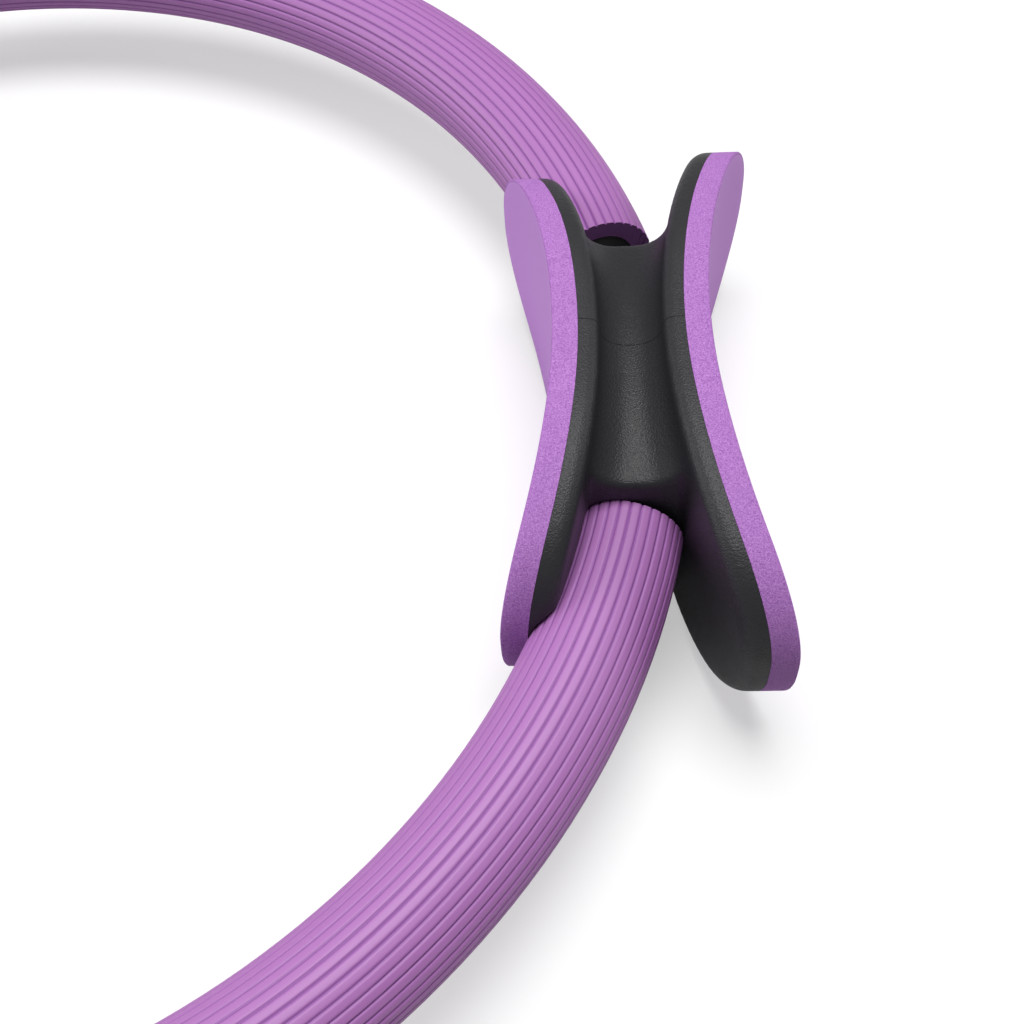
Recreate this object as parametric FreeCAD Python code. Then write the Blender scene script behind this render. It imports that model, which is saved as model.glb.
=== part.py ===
import FreeCAD, Part
import math
import os

V = FreeCAD.Vector

# A squeeze ring for exercise: an elastic hoop in ribbed foam, with a padded handle at each end of
# one diameter. All sizes in mm. The handles lie on +X and -X, and the ring rests on its pads.

# Hoop: a springy plastic rod in two halves, each in a foam sleeve.
hoop_radius = 172.0
sleeve_radius = 12.9
core_radius = 8.25
core_end_gap = 2.0
sleeve_grip_gap = 0.05

# Where the sleeves stop, along the tangent from the middle of a handle.
tight_end = 34.0
slack_end = 46.0

# Pads: foam sheets on both faces of a handle, bowed along their length. The inner one is shorter.
outer_half_length = 69.0
inner_half_length = 62.0
pad_half_height = 32.5
pad_corner_radius = 26.0
pad_end_flat_half = 2.0
pad_edge_flat_half = 16.0
pad_thickness = 5.2
tape_thickness = 0.2
tape_inset = 2.0
glue_gap = 0.1

# Handle moulding: two bowed wings joined by a tunnel that the hoop runs through.
handle_set_in = 1.4
waist_half_width = 11.4
wing_bow_radius = 168.0
wing_thickness = 4.6
wing_rim_bevel = 1.6
tunnel_half_length = 34.0
tunnel_waist_height = 23.0
tunnel_mouth_height = 18.5
valley_floor_half = 0.8
valley_rim_margin = 1.6
core_clearance = 0.3
sleeve_clearance = 0.3
sleeve_end_clearance = 0.3

# Seam between the front and back mouldings, with a spigot around the core.
spigot_length = 4.0
spigot_wall = 1.5
spigot_clearance = 0.1

# Inside the tunnel: a dowel joins the two ends of the core, and a pin locks each end.
dowel_radius = 4.0
dowel_half_length = 16.0
dowel_clearance = 0.3
pin_radius = 1.5
pin_distance = 9.0
pin_hole_clearance = 0.3
pin_dowel_clearance = 0.02
pin_end_gap = 0.35

# Extra length for cutters, and the turn that covers a whole handle.
over = 10.0
handle_reach_deg = 40.0
half_turn_deg = 180.0

# Middle of the right handle, a little inside the hoop's line.
handle_radius = hoop_radius - handle_set_in


def arc(centre, start, end):
    """Arc of under half a circle about a centre."""
    first = start - centre
    middle = first + (end - centre)
    middle.normalize()
    return Part.Arc(start, centre + middle * first.Length, end).toShape()


def swing(along):
    """Angle in degrees about the hoop's centre for a distance along the tangent."""
    return math.degrees(math.asin(along / hoop_radius))


def turned(shape, degrees):
    """Copy turned about the hoop's axis."""
    result = shape.copy()
    result.rotate(V(0, 0, 0), V(0, 0, 1), degrees)
    return result


def hoop_sweep(wire, start_deg, end_deg):
    """Solid swept round the hoop by a closed wire drawn in the XZ plane at +X."""
    face = turned(Part.Face(wire), start_deg)
    return face.revolve(V(0, 0, 0), V(0, 0, 1), end_deg - start_deg)


def round_section(radius):
    return Part.Wire(Part.makeCircle(radius, V(hoop_radius, 0, 0), V(0, 1, 0)))


def round_bar(radius, start_deg, end_deg):
    return hoop_sweep(round_section(radius), start_deg, end_deg)


def oblong(half_length, inset):
    """Bar along X with a pad's outline: flat edges, eased shoulders and round corners."""
    a = half_length - inset
    b = pad_half_height - inset
    r = pad_corner_radius - inset
    flat = pad_edge_flat_half
    end = pad_end_flat_half
    shoulder = ((a - r - flat) ** 2 + (b - end) ** 2 - r**2) / (2 * (b - end - r))
    x = handle_radius - 2 * wing_bow_radius
    edges = []
    for y in (1, -1):
        for z in (1, -1):
            corner = V(x, y * (a - r), z * end)
            ease = V(x, y * flat, z * (b - shoulder))
            way = corner - ease
            way.normalize()
            meet = corner + way * r
            edges.append(arc(ease, V(x, y * flat, z * b), meet))
            edges.append(arc(corner, meet, V(x, y * a, z * end)))
        edges.append(Part.makeLine(V(x, y * a, -end), V(x, y * a, end)))
        edges.append(Part.makeLine(V(x, -flat, y * b), V(x, flat, y * b)))
    face = Part.Face(Part.Wire(Part.__sortEdges__(edges)))
    return face.extrude(V(4 * wing_bow_radius, 0, 0))


def bowed_sheet(near, far):
    """Upright sheet on the outer wing between two distances from the wing's face, bowed along its length."""
    axis = V(handle_radius + waist_half_width + wing_bow_radius, 0, 0)
    tall = pad_half_height + over
    left = handle_radius + waist_half_width + near
    right = handle_radius + waist_half_width + far
    corners = [V(left, 0, -tall), V(right, 0, -tall), V(right, 0, tall), V(left, 0, tall)]
    face = Part.Face(Part.makePolygon(corners + corners[:1]))
    face.rotate(axis, V(0, 0, 1), -handle_reach_deg)
    return face.revolve(axis, V(0, 0, 1), 2 * handle_reach_deg)


def inward(shape):
    """The same piece on the handle's other face, toward the middle of the ring."""
    return shape.mirror(V(handle_radius, 0, 0), V(1, 0, 0))


def near_edges(shape, test):
    """Edges whose middle, measured from the middle of the handle, passes a test."""
    found = []
    for edge in shape.Edges:
        middle = edge.valueAt((edge.FirstParameter + edge.LastParameter) / 2)
        if test(middle.x - handle_radius, middle.y, middle.z, edge):
            found.append(edge)
    return found


def tunnel_block():
    """Block between the wings, tall at the waist and low at its two mouths."""
    long = tunnel_half_length
    x = handle_radius - outer_half_length
    mouth = [V(x, y, z * tunnel_mouth_height) for y, z in ((-long, 1), (long, 1), (long, -1), (-long, -1))]
    top = Part.Arc(mouth[0], V(x, 0, tunnel_waist_height), mouth[1]).toShape()
    back = Part.makeLine(mouth[1], mouth[2])
    bottom = Part.Arc(mouth[2], V(x, 0, -tunnel_waist_height), mouth[3]).toShape()
    front = Part.makeLine(mouth[3], mouth[0])
    face = Part.Face(Part.Wire([top, back, bottom, front]))
    block = face.extrude(V(2 * outer_half_length, 0, 0))
    beyond = bowed_sheet(-wing_thickness / 2, outer_half_length)
    return block.cut(beyond).cut(inward(beyond))


def scoops():
    """Room for the two sleeves where they pass between the wings."""
    start = swing(tight_end - sleeve_end_clearance)
    scoop = round_bar(sleeve_radius + sleeve_clearance, start, handle_reach_deg)
    return Part.makeCompound([scoop, turned(scoop, -start - handle_reach_deg)])


def wing(half_length):
    """Outer wing, with its rim bevelled on the side toward the tunnel."""
    plate = bowed_sheet(-wing_thickness, 0).common(oblong(half_length, 0))
    bow = waist_half_width + wing_bow_radius
    inner_face = wing_bow_radius + wing_thickness / 2

    def on_rim(x, y, z, edge):
        return math.hypot(bow - x, y) > inner_face and abs(edge.tangentAt(edge.FirstParameter).x) < 0.9

    return plate.makeChamfer(wing_rim_bevel, near_edges(plate, on_rim))


def front_moulding():
    """Front half of the handle, with a valley that is tight at the waist and wide at the mouth."""
    size = 2 * outer_half_length
    front = Part.makeBox(2 * size, size, size, V(handle_radius - size, -size, -size / 2))
    inner_wing = wing(inner_half_length)
    plates = wing(outer_half_length).fuse(inward(inner_wing))
    half = plates.fuse(tunnel_block()).removeSplitter().common(front)

    def in_valley(x, y, z, edge):
        within = abs(x) < waist_half_width and tunnel_mouth_height < abs(z) < tunnel_waist_height
        return within and abs(y) < tunnel_half_length and edge.Length > tunnel_half_length

    mouth_cut = Part.Compound(inner_wing.slice(V(0, 1, 0), tunnel_half_length))
    waist_round = waist_half_width - wing_thickness - valley_floor_half
    mouth_round = mouth_cut.BoundBox.ZMax - wing_rim_bevel - tunnel_mouth_height - valley_rim_margin
    half = half.makeFillet(waist_round, mouth_round, near_edges(half, in_valley))
    passage = round_bar(core_radius + core_clearance, -handle_reach_deg, handle_reach_deg)
    return half.cut(passage).cut(scoops())


def handle_halves():
    """Front half with a spigot around the core, and back half with a socket for it."""
    front = front_moulding()
    back = front.mirror(V(0, 0, 0), V(0, 1, 0))
    bore = core_radius + core_clearance
    spigot = seam_bar(bore + spigot_wall, spigot_length)
    spigot = spigot.cut(round_bar(bore, -handle_reach_deg, handle_reach_deg))
    socket = seam_bar(bore + spigot_wall + spigot_clearance, spigot_length + spigot_clearance)
    return front.fuse(spigot).removeSplitter(), back.cut(socket)


def seam_bar(radius, length):
    """Round bar along the tangent that stands past the seam by a length."""
    return Part.makeCylinder(radius, length + over, V(hoop_radius, -over, 0), V(0, 1, 0))


def cross_hole(radius, along):
    """Upright drill through the hoop's line at a distance along the tangent."""
    long = 4 * core_radius
    return turned(Part.makeCylinder(radius, long, V(hoop_radius, 0, -long / 2)), swing(along))


def dowel_bar(radius, half_length):
    return Part.makeCylinder(radius, 2 * half_length, V(hoop_radius, -half_length, 0), V(0, 1, 0))


def core_rod():
    """Front half of the springy rod, with a blind hole and a cross hole at each end."""
    start = swing(core_end_gap / 2)
    end_cut = dowel_bar(dowel_radius + dowel_clearance, dowel_half_length + dowel_clearance)
    end_cut = end_cut.fuse(cross_hole(pin_radius + pin_hole_clearance, -pin_distance))
    rod = round_bar(core_radius, -half_turn_deg + start, -start).cut(end_cut)
    end_cut = dowel_bar(dowel_radius + dowel_clearance, dowel_half_length + dowel_clearance)
    end_cut = end_cut.fuse(cross_hole(pin_radius + pin_hole_clearance, pin_distance))
    return rod.cut(turned(end_cut, half_turn_deg))


def sleeve():
    """Front foam sleeve: up against the right handle, and short of the left one."""
    start = -half_turn_deg + swing(slack_end)
    end = -swing(tight_end)
    return round_bar(sleeve_radius, start, end).cut(round_bar(core_radius + sleeve_grip_gap, -half_turn_deg, 0))


def core_dowel():
    dowel = dowel_bar(dowel_radius, dowel_half_length)
    for place in (-pin_distance, pin_distance):
        dowel = dowel.cut(cross_hole(pin_radius + pin_dowel_clearance, place))
    return dowel


def core_pins():
    long = 2 * (core_radius - pin_end_gap)
    pin = Part.makeCylinder(pin_radius, long, V(hoop_radius, 0, -long / 2))
    return Part.makeCompound([turned(pin, -swing(pin_distance)), turned(pin, swing(pin_distance))])


def sheet(half_length, near, thickness, inset):
    return bowed_sheet(near, near + thickness).common(oblong(half_length, inset))


def tape(half_length):
    return sheet(half_length, glue_gap, tape_thickness, tape_inset)


def pad(half_length):
    return sheet(half_length, 2 * glue_gap + tape_thickness, pad_thickness, 0)


front_half, back_half = handle_halves()
relief = scoops()

handle = {
    "handle_front_half": front_half,
    "handle_back_half": back_half,
    "outer_pad": pad(outer_half_length),
    "inner_pad": inward(pad(inner_half_length)).cut(relief),
    "outer_pad_tape": tape(outer_half_length),
    "inner_pad_tape": inward(tape(inner_half_length)).cut(relief),
    "core_dowel": core_dowel(),
    "core_pins": core_pins(),
}

pieces = {"core_rod_front": core_rod(), "sleeve_front": sleeve()}
pieces["core_rod_back"] = turned(pieces["core_rod_front"], half_turn_deg)
pieces["sleeve_back"] = turned(pieces["sleeve_front"], half_turn_deg)
for name, shape in handle.items():
    pieces["right_" + name] = shape
    pieces["left_" + name] = turned(shape, half_turn_deg)

os.makedirs("parts", exist_ok=True)
for name, shape in pieces.items():
    shape.translate(V(0, 0, pad_half_height))
    shape.exportStep("parts/" + name + ".step")
    solids = len(shape.Solids)
    box = shape.BoundBox
    print(name, shape.isValid(), solids, round(shape.Volume), [round(v, 1) for v in (box.XLength, box.YLength, box.ZLength)])
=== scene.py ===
import bmesh
import bpy
import math
from mathutils import Matrix, Vector


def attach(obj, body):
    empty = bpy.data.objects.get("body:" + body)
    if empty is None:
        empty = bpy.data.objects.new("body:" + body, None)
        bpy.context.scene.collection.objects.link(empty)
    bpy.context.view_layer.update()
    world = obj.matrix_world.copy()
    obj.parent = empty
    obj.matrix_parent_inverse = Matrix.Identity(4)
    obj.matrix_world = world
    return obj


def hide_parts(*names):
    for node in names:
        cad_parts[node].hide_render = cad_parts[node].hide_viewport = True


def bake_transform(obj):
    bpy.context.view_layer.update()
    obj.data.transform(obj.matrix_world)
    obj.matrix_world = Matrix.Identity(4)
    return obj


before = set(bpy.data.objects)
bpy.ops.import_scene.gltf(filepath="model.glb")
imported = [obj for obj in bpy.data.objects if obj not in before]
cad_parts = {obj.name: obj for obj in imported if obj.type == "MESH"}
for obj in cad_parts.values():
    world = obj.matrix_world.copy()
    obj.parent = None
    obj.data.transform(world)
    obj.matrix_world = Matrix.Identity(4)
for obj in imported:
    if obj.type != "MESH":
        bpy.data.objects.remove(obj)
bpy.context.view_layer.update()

# Core: a springy rod of black plastic in two halves, bent round the hoop inside the foam.
# It shows only in the short gap at each handle where one sleeve stops early.
# Each half is drawn as two quarters, and each quarter ends in a handle.
HOOP_R, HOOP_Z = 0.172, 0.0325
HOOP_STEP = math.radians(1.5)
CORE_R, CORE_SIDES = 0.00825, 48
CORE_GAP = 0.001
CORE_END = math.asin(CORE_GAP / HOOP_R)


def linear(code):
    """Colour from an sRGB hex code."""
    parts = [int(code[i:i + 2], 16) / 255 for i in (1, 3, 5)]
    return [p / 12.92 if p <= 0.04045 else ((p + 0.055) / 1.055) ** 2.4 for p in parts] + [1.0]


def add(material, kind, links=None, **settings):
    """Node with its settings, and links given as {input: output socket}."""
    node = material.node_tree.nodes.new(kind)
    for name, value in settings.items():
        if hasattr(node, name):
            setattr(node, name, value)
        else:
            node.inputs[name.replace("_", " ")].default_value = value
    for name, socket in (links or {}).items():
        material.node_tree.links.new(socket, node.inputs[name])
    return node


def surface(name, code, rough, gloss=0.5):
    """Material of one colour, with its shader."""
    material = bpy.data.materials.new(name)
    material.use_nodes = True
    shader = material.node_tree.nodes["Principled BSDF"]
    shader.inputs["Base Color"].default_value = linear(code)
    shader.inputs["Roughness"].default_value = rough
    shader.inputs["Specular IOR Level"].default_value = gloss
    return material, shader


def join(material, socket, shader, name):
    """Link from an output socket to one of a shader's inputs."""
    material.node_tree.links.new(socket, shader.inputs[name])


def grain(material, shader, size, strength, depth):
    """Fine relief with grains of a size in metres, and its pattern from 0 to 1."""
    place = add(material, "ShaderNodeTexCoord").outputs["Object"]
    noise = add(material, "ShaderNodeTexNoise", {"Vector": place}, Scale=1 / size, Detail=2.0)
    pattern = noise.outputs["Fac"]
    bump = add(material, "ShaderNodeBump", {"Height": pattern}, Strength=strength, Distance=depth)
    join(material, bump.outputs["Normal"], shader, "Normal")
    return pattern


def mesh_object(name, build, *materials):
    """Object at the origin from a mesh that build fills in, with its normals turned outward."""
    work = bmesh.new()
    build(work)
    bmesh.ops.recalc_face_normals(work, faces=work.faces)
    data = bpy.data.meshes.new(name)
    work.to_mesh(data)
    work.free()
    for material in materials:
        data.materials.append(material)
    piece = bpy.data.objects.new(name, data)
    bpy.context.collection.objects.link(piece)
    return piece


def closed_loop(work, places):
    """Closed loop of edges through some places."""
    verts = [work.verts.new(place) for place in places]
    return [work.edges.new(pair) for pair in zip(verts, verts[1:] + verts[:1])]


def tube_section(radii):
    """Places round the hoop's tube where it crosses the x axis, one for each radius."""
    for step, radius in enumerate(radii):
        angle = 2 * math.pi * step / len(radii)
        yield HOOP_R + radius * math.cos(angle), 0.0, HOOP_Z + radius * math.sin(angle)


def hoop_tube(work, radii, bore, start, end):
    """Tube spun round part of the hoop, solid or with a bore.

    Its own attribute, reach, keeps each point's radius for the material. The ends take the
    second material.
    """
    reach = work.verts.layers.float.new("reach")
    first = closed_loop(work, tube_section(radii))
    if bore:
        first += closed_loop(work, tube_section([bore] * len(radii)))
    for vert in work.verts:
        vert[reach] = math.hypot(vert.co.x - HOOP_R, vert.co.z - HOOP_Z)
    bmesh.ops.rotate(work, verts=work.verts, cent=(0, 0, 0), matrix=Matrix.Rotation(start, 3, "Z"))
    steps = round(abs(end - start) / HOOP_STEP)
    spun = bmesh.ops.spin(
        work, geom=first, cent=(0, 0, 0), axis=(0, 0, 1), angle=end - start, steps=steps, use_merge=False)
    last = [edge for edge in spun["geom_last"] if isinstance(edge, bmesh.types.BMEdge)]
    for face in work.faces:
        face.smooth = True
    close = bmesh.ops.bridge_loops if bore else bmesh.ops.edgeloop_fill
    for rim in (first, last):
        for face in close(work, edges=rim)["faces"]:
            face.material_index = 1
        for edge in rim:
            edge.smooth = False


def quarter(name, node, hand, radii, bore, turn, near, *materials):
    """One quarter of the hoop, between its middle and the handle that it ends in.

    It starts at the angle near, and runs along the front (turn -1) or the back (turn 1). The argument hand
    is not used.
    """
    start, middle = turn * near, turn * math.pi / 2
    piece = mesh_object(name, lambda work: hoop_tube(work, radii, bore, start, middle), *materials)
    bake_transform(piece)
    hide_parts(node)
    return piece


# Drawn plastic rod: dull and almost black, with faint scratches about 0.6 mm apart.
rod_plastic, rod_shader = surface("drawn_rod_plastic", "#0A0A0B", rough=0.7, gloss=0.1)
grain(rod_plastic, rod_shader, size=0.0006, strength=0.1, depth=0.0001)
for half, turn in (("front", -1), ("back", 1)):
    for hand, near in (("right", CORE_END), ("left", math.pi - CORE_END)):
        piece = quarter(
            "core_" + half + "_" + hand, "core_rod_" + half, hand, [CORE_R] * CORE_SIDES, None,
            turn, near, rod_plastic, rod_plastic)

# Sleeves: closed-cell foam tube with ribs along its length, pushed over the core.
# The front one meets the right handle and stops short of the left, and the back one the other way.
SLEEVE_R, SLEEVE_BORE = 0.0129, 0.00835
RIBS, RIB_STEPS = 34, 10
GROOVE, GROOVE_POWER = 0.0005, 6
MEETS, STOPS_SHORT = 0.034, 0.046
TIGHT = math.asin(MEETS / HOOP_R)
SLACK = math.asin(STOPS_SHORT / HOOP_R)
# The groove purple is painted shade, darker where the recesses of the grooves fall into shade.
LAND_PURPLE, GROOVE_SHADE_PURPLE = "#A66CAE", "#7A3A8E"


def two_tone(material, shader, share, low, high):
    """Base colour that goes from one sRGB code to another with a share from 0 to 1.

    The Mix node's inputs 6 and 7 and its output 2 are the ones for colours.
    """
    mix = add(material, "ShaderNodeMix", {"Factor": share}, data_type="RGBA")
    mix.inputs[6].default_value = linear(low)
    mix.inputs[7].default_value = linear(high)
    join(material, mix.outputs[2], shader, "Base Color")


# Extruded foam: soft sheen on the flat lands, and painted shade down in the grooves, drawn as a deeper
# purple.
# Its skin, finer than the render shows, is drawn with grains of 0.4 mm.
ribbed_foam, ribbed_shader = surface("extruded_foam", LAND_PURPLE, rough=0.52, gloss=0.6)
grain(ribbed_foam, ribbed_shader, size=0.0004, strength=0.15, depth=0.0001)
# reach picks out the grooves, and the painted shade goes where it falls below the crest.
reach = add(ribbed_foam, "ShaderNodeAttribute", attribute_name="reach").outputs["Fac"]
crest = add(
    ribbed_foam, "ShaderNodeMapRange", {"Value": reach}, From_Min=SLEEVE_R - GROOVE, From_Max=SLEEVE_R)
two_tone(ribbed_foam, ribbed_shader, crest.outputs["Result"], GROOVE_SHADE_PURPLE, LAND_PURPLE)
# Cut end of the tube: open cells, paler and duller than the skin, drawn 0.3 mm across to show.
tube_end, end_shader = surface("foam_tube_end", "#BE7CD0", rough=0.7)
grain(tube_end, end_shader, size=0.0003, strength=0.3, depth=0.0002)
rib_radii = []
for step in range(RIBS * RIB_STEPS):
    across = abs(2 * (step % RIB_STEPS) / RIB_STEPS - 1)
    rib_radii.append(SLEEVE_R - GROOVE * across ** GROOVE_POWER)
for half, turn, right_end, left_end in (("front", -1, TIGHT, SLACK), ("back", 1, SLACK, TIGHT)):
    for hand, near in (("right", right_end), ("left", math.pi - left_end)):
        piece = quarter(
            "sleeve_" + half + "_" + hand, "sleeve_" + half, hand, rib_radii, SLEEVE_BORE,
            turn, near, ribbed_foam, tube_end)

# Joining dowels and cross pins: turned steel, hidden in the handles where the two core ends meet.
# The film under each pad is a thin layer of adhesive between the foam and the moulding.
# Turned steel: bright grey metal, with tool marks drawn as grains of 0.5 mm.
turned_steel, steel_shader = surface("turned_steel", "#8A8A8C", rough=0.35)
steel_shader.inputs["Metallic"].default_value = 1.0
grain(turned_steel, steel_shader, size=0.0005, strength=0.1, depth=0.0001)
# Adhesive film: dull and dark, and a little uneven over about 1 mm.
adhesive, adhesive_shader = surface("adhesive_film", "#4A3A50", rough=0.5)
grain(adhesive, adhesive_shader, size=0.001, strength=0.1, depth=0.0001)
hidden = {
    "core_dowel": turned_steel,
    "core_pins": turned_steel,
    "outer_pad_tape": adhesive,
    "inner_pad_tape": adhesive,
}
for hand in ("right", "left"):
    for node, material in hidden.items():
        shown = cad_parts[hand + "_" + node]
        shown.data.materials.clear()
        shown.data.materials.append(material)

# Handles: two moulded black plastic halves, front and back, with a fine matte texture.
# They clamp the core between them and part along a thin seam across the waist.
# Edges are softened as in a moulding, but stay crisp where the pads meet the wings.
HANDLE_X, WAIST, BOW = 0.1706, 0.0114, 0.168
OUTER_HALF_LENGTH, INNER_HALF_LENGTH, WING_HALF_HEIGHT = 0.069, 0.062, 0.0325
WING_CORNER, WING_END, WING_EDGE = 0.026, 0.002, 0.016
CORNER_STEPS, EASE_STEPS, EDGE_STEPS = 16, 8, 4
BACK_SHRINKS = (0.975, 0.9, 0.7, 0.45, 0.2)
CARRIED_BACK, CARRIED_OUT = -0.0008, 0.004
CARRIED_SHRINKS = (1.0, 0.6, 0.2)
SKIN_VOXEL, SOFTEN_SHARE, SOFTEN_TURNS = 0.0007, 0.5, 18
SEAM, ON_SEAM = 0.00006, 0.000001
WELD, SLIVER = 0.00001, 0.00002
CREASE = 0.8
# Textured ABS: near black, with a satin sheen broken up by a leather-like grain of 0.4 mm.
textured_abs, abs_shader = surface("textured_abs", "#2C2C2F", rough=0.42, gloss=0.29)
grain(textured_abs, abs_shader, size=0.0004, strength=0.8, depth=0.0002)


def wing_outline(half_length):
    """Points round a wing as (y, z): flat edges, eased shoulders, round corners and short flat ends."""
    run = half_length - WING_CORNER - WING_EDGE
    drop = WING_HALF_HEIGHT - WING_END
    ease = (run ** 2 + drop ** 2 - WING_CORNER ** 2) / (2 * (drop - WING_CORNER))
    meet = math.atan2(ease - drop, run)
    first = [(half_length, 0.0)]
    for step in range(CORNER_STEPS + 1):
        angle = meet * step / CORNER_STEPS
        y = half_length - WING_CORNER + WING_CORNER * math.cos(angle)
        first.append((y, WING_END + WING_CORNER * math.sin(angle)))
    for step in range(1, EASE_STEPS + 1):
        angle = meet + (math.pi / 2 - meet) * step / EASE_STEPS
        z = WING_HALF_HEIGHT - ease + ease * math.sin(angle)
        first.append((WING_EDGE + ease * math.cos(angle), z))
    for step in range(1, EDGE_STEPS + 1):
        first.append((WING_EDGE * (1 - step / EDGE_STEPS), WING_HALF_HEIGHT))
    upper = first + [(-y, z) for y, z in reversed(first[:-1])]
    return upper + [(y, -z) for y, z in reversed(upper[1:-1])]


def bowed_sheet(work, facing, way, back, rows, edge_rows):
    """Closed sheet on the outer (way 1) or inner (-1) wing of the right (facing 1) or left (-1) handle.

    Rows of (shrink, height over the wing) go from its back edge to the middle of its face. The
    first edge_rows take the first material and the rest take the second.
    """
    def lift(verts, scale, height):
        for vert in verts:
            vert.co.y *= scale
            vert.co.z = HOOP_Z + (vert.co.z - HOOP_Z) * scale
            bow = WAIST + BOW - math.sqrt((BOW - height) ** 2 - vert.co.y ** 2)
            vert.co.x = facing * (HANDLE_X + way * bow)

    def grow(rim, scale, height, slot):
        grown = bmesh.ops.extrude_edge_only(work, edges=rim)["geom"]
        verts = {part for part in grown if isinstance(part, bmesh.types.BMVert)}
        lift(verts, scale, height)
        for face in grown:
            if isinstance(face, bmesh.types.BMFace):
                face.smooth = True
                face.material_index = slot
        edges = [part for part in grown if isinstance(part, bmesh.types.BMEdge)]
        return [edge for edge in edges if verts.issuperset(edge.verts)]

    first_shrink, first_height = rows[0]
    outline = wing_outline(OUTER_HALF_LENGTH if way > 0 else INNER_HALF_LENGTH)
    rim = closed_loop(work, [(0, facing * y, HOOP_Z + z) for y, z in outline])
    lift({vert for edge in rim for vert in edge.verts}, first_shrink, first_height)
    front = rim
    for i, (before, row) in enumerate(zip(rows, rows[1:])):
        front = grow(front, row[0] / before[0], row[1], 0 if i < edge_rows else 1)
    bmesh.ops.edgeloop_fill(work, edges=front, mat_nr=0 if edge_rows >= len(rows) else 1)
    rear = rim
    for before, shrink in zip((first_shrink,) + BACK_SHRINKS, BACK_SHRINKS):
        rear = grow(rear, shrink / before, back, 0)
    bmesh.ops.edgeloop_fill(work, edges=rear, mat_nr=0)
    for edge in rim:
        edge.smooth = False


def moulded(work, hand, facing):
    """Both halves of a handle as one skin, with its wings carried on past their faces."""
    for half in ("front", "back"):
        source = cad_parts[hand + "_handle_" + half + "_half"]
        half_mesh = source.data.copy()
        half_mesh.transform(source.matrix_world)
        work.from_mesh(half_mesh)
        bpy.data.meshes.remove(half_mesh)
    seam_faces = [face for face in work.faces if all(abs(vert.co.y) < ON_SEAM for vert in face.verts)]
    bmesh.ops.delete(work, geom=seam_faces, context="FACES")
    bmesh.ops.remove_doubles(work, verts=work.verts, dist=WELD)
    rows = [(1.0, CARRIED_BACK), (1.0, 0.0), (1.0, CARRIED_OUT / 2)]
    rows += [(shrink, CARRIED_OUT) for shrink in CARRIED_SHRINKS]
    for way in (1, -1):
        bowed_sheet(work, facing, way, CARRIED_BACK, rows, len(rows))


def half_of(work, whole, facing, side):
    """The front (side -1) or back (1) half of the softened skin.

    It is pressed flat to the wings' faces, closed along the seam, and sharp where it turns hard.
    """
    work.from_mesh(whole)
    for vert in work.verts:
        out = vert.co.x * facing - HANDLE_X
        face = WAIST + BOW - math.sqrt(BOW ** 2 - vert.co.y ** 2)
        vert.co.x = facing * (HANDLE_X + max(-face, min(face, out)))
    bmesh.ops.dissolve_degenerate(work, edges=work.edges, dist=SLIVER)
    shape = work.verts[:] + work.edges[:] + work.faces[:]
    away = facing * side
    cut = bmesh.ops.bisect_plane(
        work, geom=shape, plane_co=(0, away * SEAM, 0), plane_no=(0, -away, 0), clear_outer=True)
    rim = [part for part in cut["geom_cut"] if isinstance(part, bmesh.types.BMEdge)]
    bmesh.ops.triangle_fill(work, edges=rim, use_beauty=True)
    for face in work.faces:
        face.smooth = True
    for edge in work.edges:
        edge.smooth = len(edge.link_faces) == 2 and edge.calc_face_angle() < CREASE


for hand, facing in (("right", 1), ("left", -1)):
    skin = mesh_object(hand + "_skin", lambda work: moulded(work, hand, facing))
    remesh = skin.modifiers.new("remesh", "REMESH")
    remesh.mode = "VOXEL"
    remesh.voxel_size = SKIN_VOXEL
    soften = skin.modifiers.new("soften", "SMOOTH")
    soften.factor = SOFTEN_SHARE
    soften.iterations = SOFTEN_TURNS
    bpy.context.view_layer.update()
    softened = skin.evaluated_get(bpy.context.evaluated_depsgraph_get())
    whole = bpy.data.meshes.new_from_object(softened)
    bpy.data.objects.remove(skin)
    for half, side in (("front", -1), ("back", 1)):
        piece = mesh_object(
            hand + "_moulding_" + half, lambda work: half_of(work, whole, facing, side), textured_abs)
        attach(piece, hand + "_handle")
        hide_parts(hand + "_handle_" + half + "_half")
    bpy.data.meshes.remove(whole)

# Pads: cut foam sheet glued over the wings and bowed with them, the inner one shorter.
# The face has a smooth skin, and the cut edge shows the open grain of the foam.
PAD_RIM, PAD_BACK, PAD_FRONT = 0.00005, 0.0004, 0.0056
PAD_SOFT, PAD_TURN = 0.0004, 0.00012
PAD_EDGE_ROWS = 4
FACE_SHRINKS = (0.93, 0.82, 0.68, 0.5, 0.3, 0.12, 0.02)
# Cut foam: dull and speckled with open cells, drawn 0.3 mm across so that they show.
cut_foam, cut_shader = surface("cut_foam", "#A95FC4", rough=0.8)
cells = grain(cut_foam, cut_shader, size=0.0003, strength=0.5, depth=0.0003)
speckle = add(cut_foam, "ShaderNodeMapRange", {"Value": cells}, From_Min=0.22, From_Max=0.78)
two_tone(cut_foam, cut_shader, speckle.outputs["Result"], "#7E4496", "#C088D0")
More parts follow.
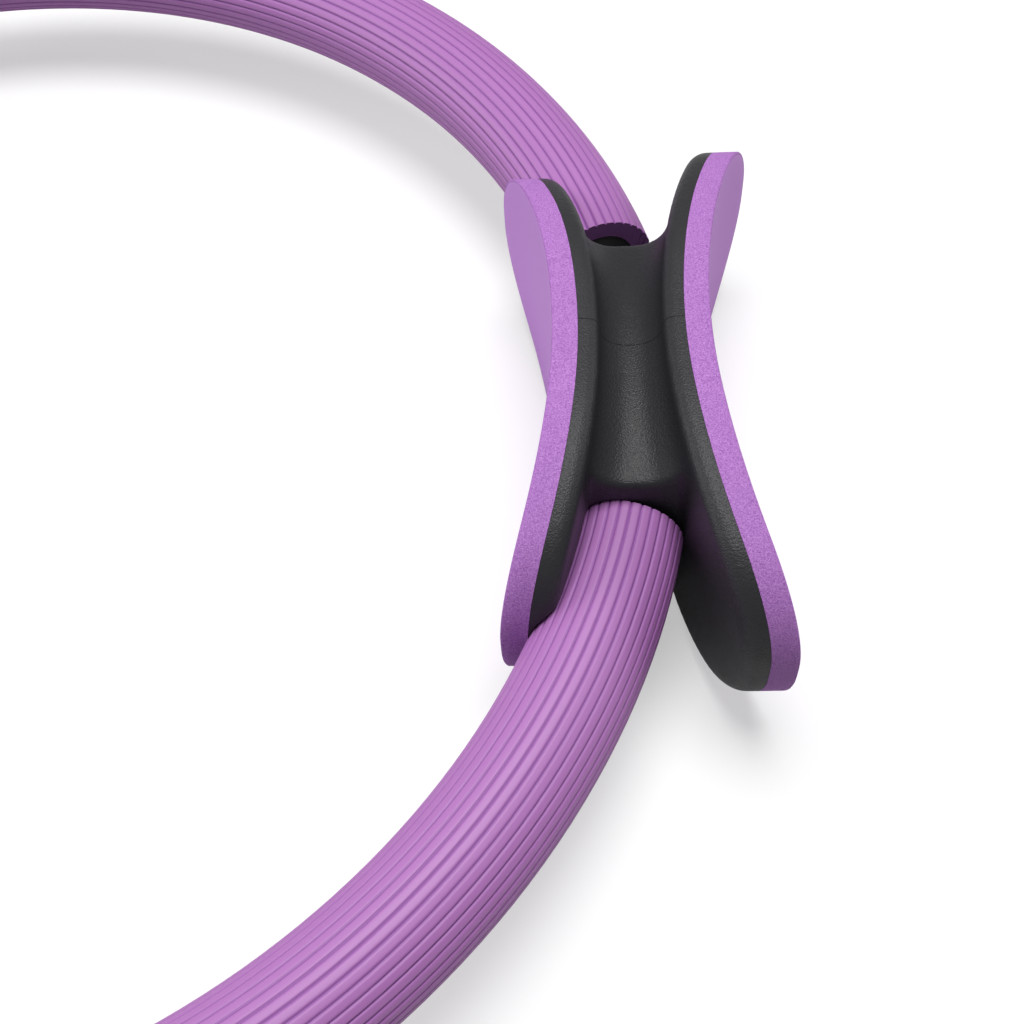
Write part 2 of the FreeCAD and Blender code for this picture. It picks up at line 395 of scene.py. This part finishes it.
# Skinned foam: even, paler and smoother than the cut edge, drawn with a faint grain of 0.45 mm.
skin_foam, skin_shader = surface("skinned_foam", "#C185D6", rough=0.6)
grain(skin_foam, skin_shader, size=0.00045, strength=0.12, depth=0.0001)
pad_rows = [(1.0, PAD_RIM), (1.0, (PAD_RIM + PAD_FRONT) / 2), (1.0, PAD_FRONT - PAD_SOFT)]
pad_rows.append((1 - PAD_TURN / WING_HALF_HEIGHT, PAD_FRONT - PAD_TURN))
pad_rows.append((1 - PAD_SOFT / WING_HALF_HEIGHT, PAD_FRONT))
pad_rows += [(shrink, PAD_FRONT) for shrink in FACE_SHRINKS]
for hand, facing in (("right", 1), ("left", -1)):
    for wing, way in (("outer", 1), ("inner", -1)):
        name = hand + "_" + wing + "_pad"
        piece = mesh_object(
            name + "_foam", lambda work: bowed_sheet(work, facing, way, PAD_BACK, pad_rows, PAD_EDGE_ROWS),
            cut_foam, skin_foam)
        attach(piece, hand + "_handle")
        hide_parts(name)

# Floor and light: a matt white table under a broad soft light from above and a little behind.
# A weaker fill stands on each side. The floor glows a little to the camera, and more with
# distance, as an overexposed white table does.
FLOOR_SIZE = 12.0
GLOW_START, GLOW_END = 0.5, 2.0
GLOW_NEAR, GLOW_FAR = 0.46, 0.98
ROOM_LIGHT, ROOM_WHITE = 0.14, 1.0
GLOSSY_SHARE = 0.1
AIM = Vector((0.14, 0, 0.03))


def white_rays(material):
    """1 for rays that show the white straight or through glass, and a part of it by gloss."""
    path = add(material, "ShaderNodeLightPath").outputs
    glossy = add(material, "ShaderNodeMath", {0: path["Is Glossy Ray"]}, operation="MULTIPLY")
    glossy.inputs[1].default_value = GLOSSY_SHARE
    straight = {0: path["Is Camera Ray"], 1: path["Is Transmission Ray"]}
    clear = add(material, "ShaderNodeMath", straight, operation="MAXIMUM")
    both = {0: clear.outputs[0], 1: glossy.outputs[0]}
    return add(material, "ShaderNodeMath", both, operation="MAXIMUM").outputs[0]


def soft_light(name, size, power, place):
    """Round area light turned to the photographed handle."""
    data = bpy.data.lights.new(name, "AREA")
    data.shape = "DISK"
    data.size = size
    data.energy = power
    light = bpy.data.objects.new(name, data)
    bpy.context.collection.objects.link(light)
    light.location = place
    light.rotation_euler = (AIM - light.location).to_track_quat("-Z", "Y").to_euler()


# Matt white table: pale grey where it takes the shadows, and lifted to white by its glow.
table, table_shader = surface("matt_white_table", "#B8B8B8", rough=0.9)
place = add(table, "ShaderNodeTexCoord").outputs["Object"]
distance = add(table, "ShaderNodeVectorMath", {0: place}, operation="LENGTH").outputs["Value"]
rise = add(
    table, "ShaderNodeMapRange", {"Value": distance},
    From_Min=GLOW_START, From_Max=GLOW_END, To_Min=GLOW_NEAR, To_Max=GLOW_FAR)
glow = add(table, "ShaderNodeMath", {0: white_rays(table), 1: rise.outputs["Result"]}, operation="MULTIPLY")
table_shader.inputs["Emission Color"].default_value = linear("#FFFFFF")
join(table, glow.outputs[0], table_shader, "Emission Strength")
floor = mesh_object(
    "floor", lambda work: bmesh.ops.create_grid(work, x_segments=1, y_segments=1, size=FLOOR_SIZE), table)
world = bpy.data.worlds.new("room")
bpy.context.scene.world = world
world.use_nodes = True
room = world.node_tree.nodes["Background"]
room.inputs["Color"].default_value = linear("#FFFFFF")
level = add(world, "ShaderNodeMapRange", {"Value": white_rays(world)}, To_Min=ROOM_LIGHT, To_Max=ROOM_WHITE)
join(world, level.outputs["Result"], room, "Strength")
soft_light("soft_box", size=0.75, power=17.5, place=(0.2, 0.1, 1.35))
soft_light("left_fill", size=0.9, power=6.4, place=(-0.9, 0.1, 0.5))
soft_light("right_fill", size=0.9, power=4.0, place=(1.2, 0.4, 0.5))

# Camera: in front of the photographed handle and above it, looking down at its waist.
# Its lens, place and turns are fitted to the outlines of the tube and the pads.
SENSOR, LENS = 36.0, 50.40
EYE = (0.1565, -0.1997, 0.3012)
HEADING, DOWN, ROLL = math.radians(4.25), math.radians(57.34), math.radians(-4.83)
camera_data = bpy.data.cameras.new("camera")
camera_data.sensor_width = SENSOR
camera_data.lens = LENS
camera = bpy.data.objects.new("camera", camera_data)
bpy.context.collection.objects.link(camera)
aim = Matrix.Rotation(HEADING, 4, "Z") @ Matrix.Rotation(math.pi / 2 - DOWN, 4, "X")
aim = aim @ Matrix.Rotation(ROLL, 4, "Z")
camera.matrix_world = Matrix.Translation(EYE) @ aim
bpy.context.scene.camera = camera
bpy.context.scene.view_settings.view_transform = "Standard"
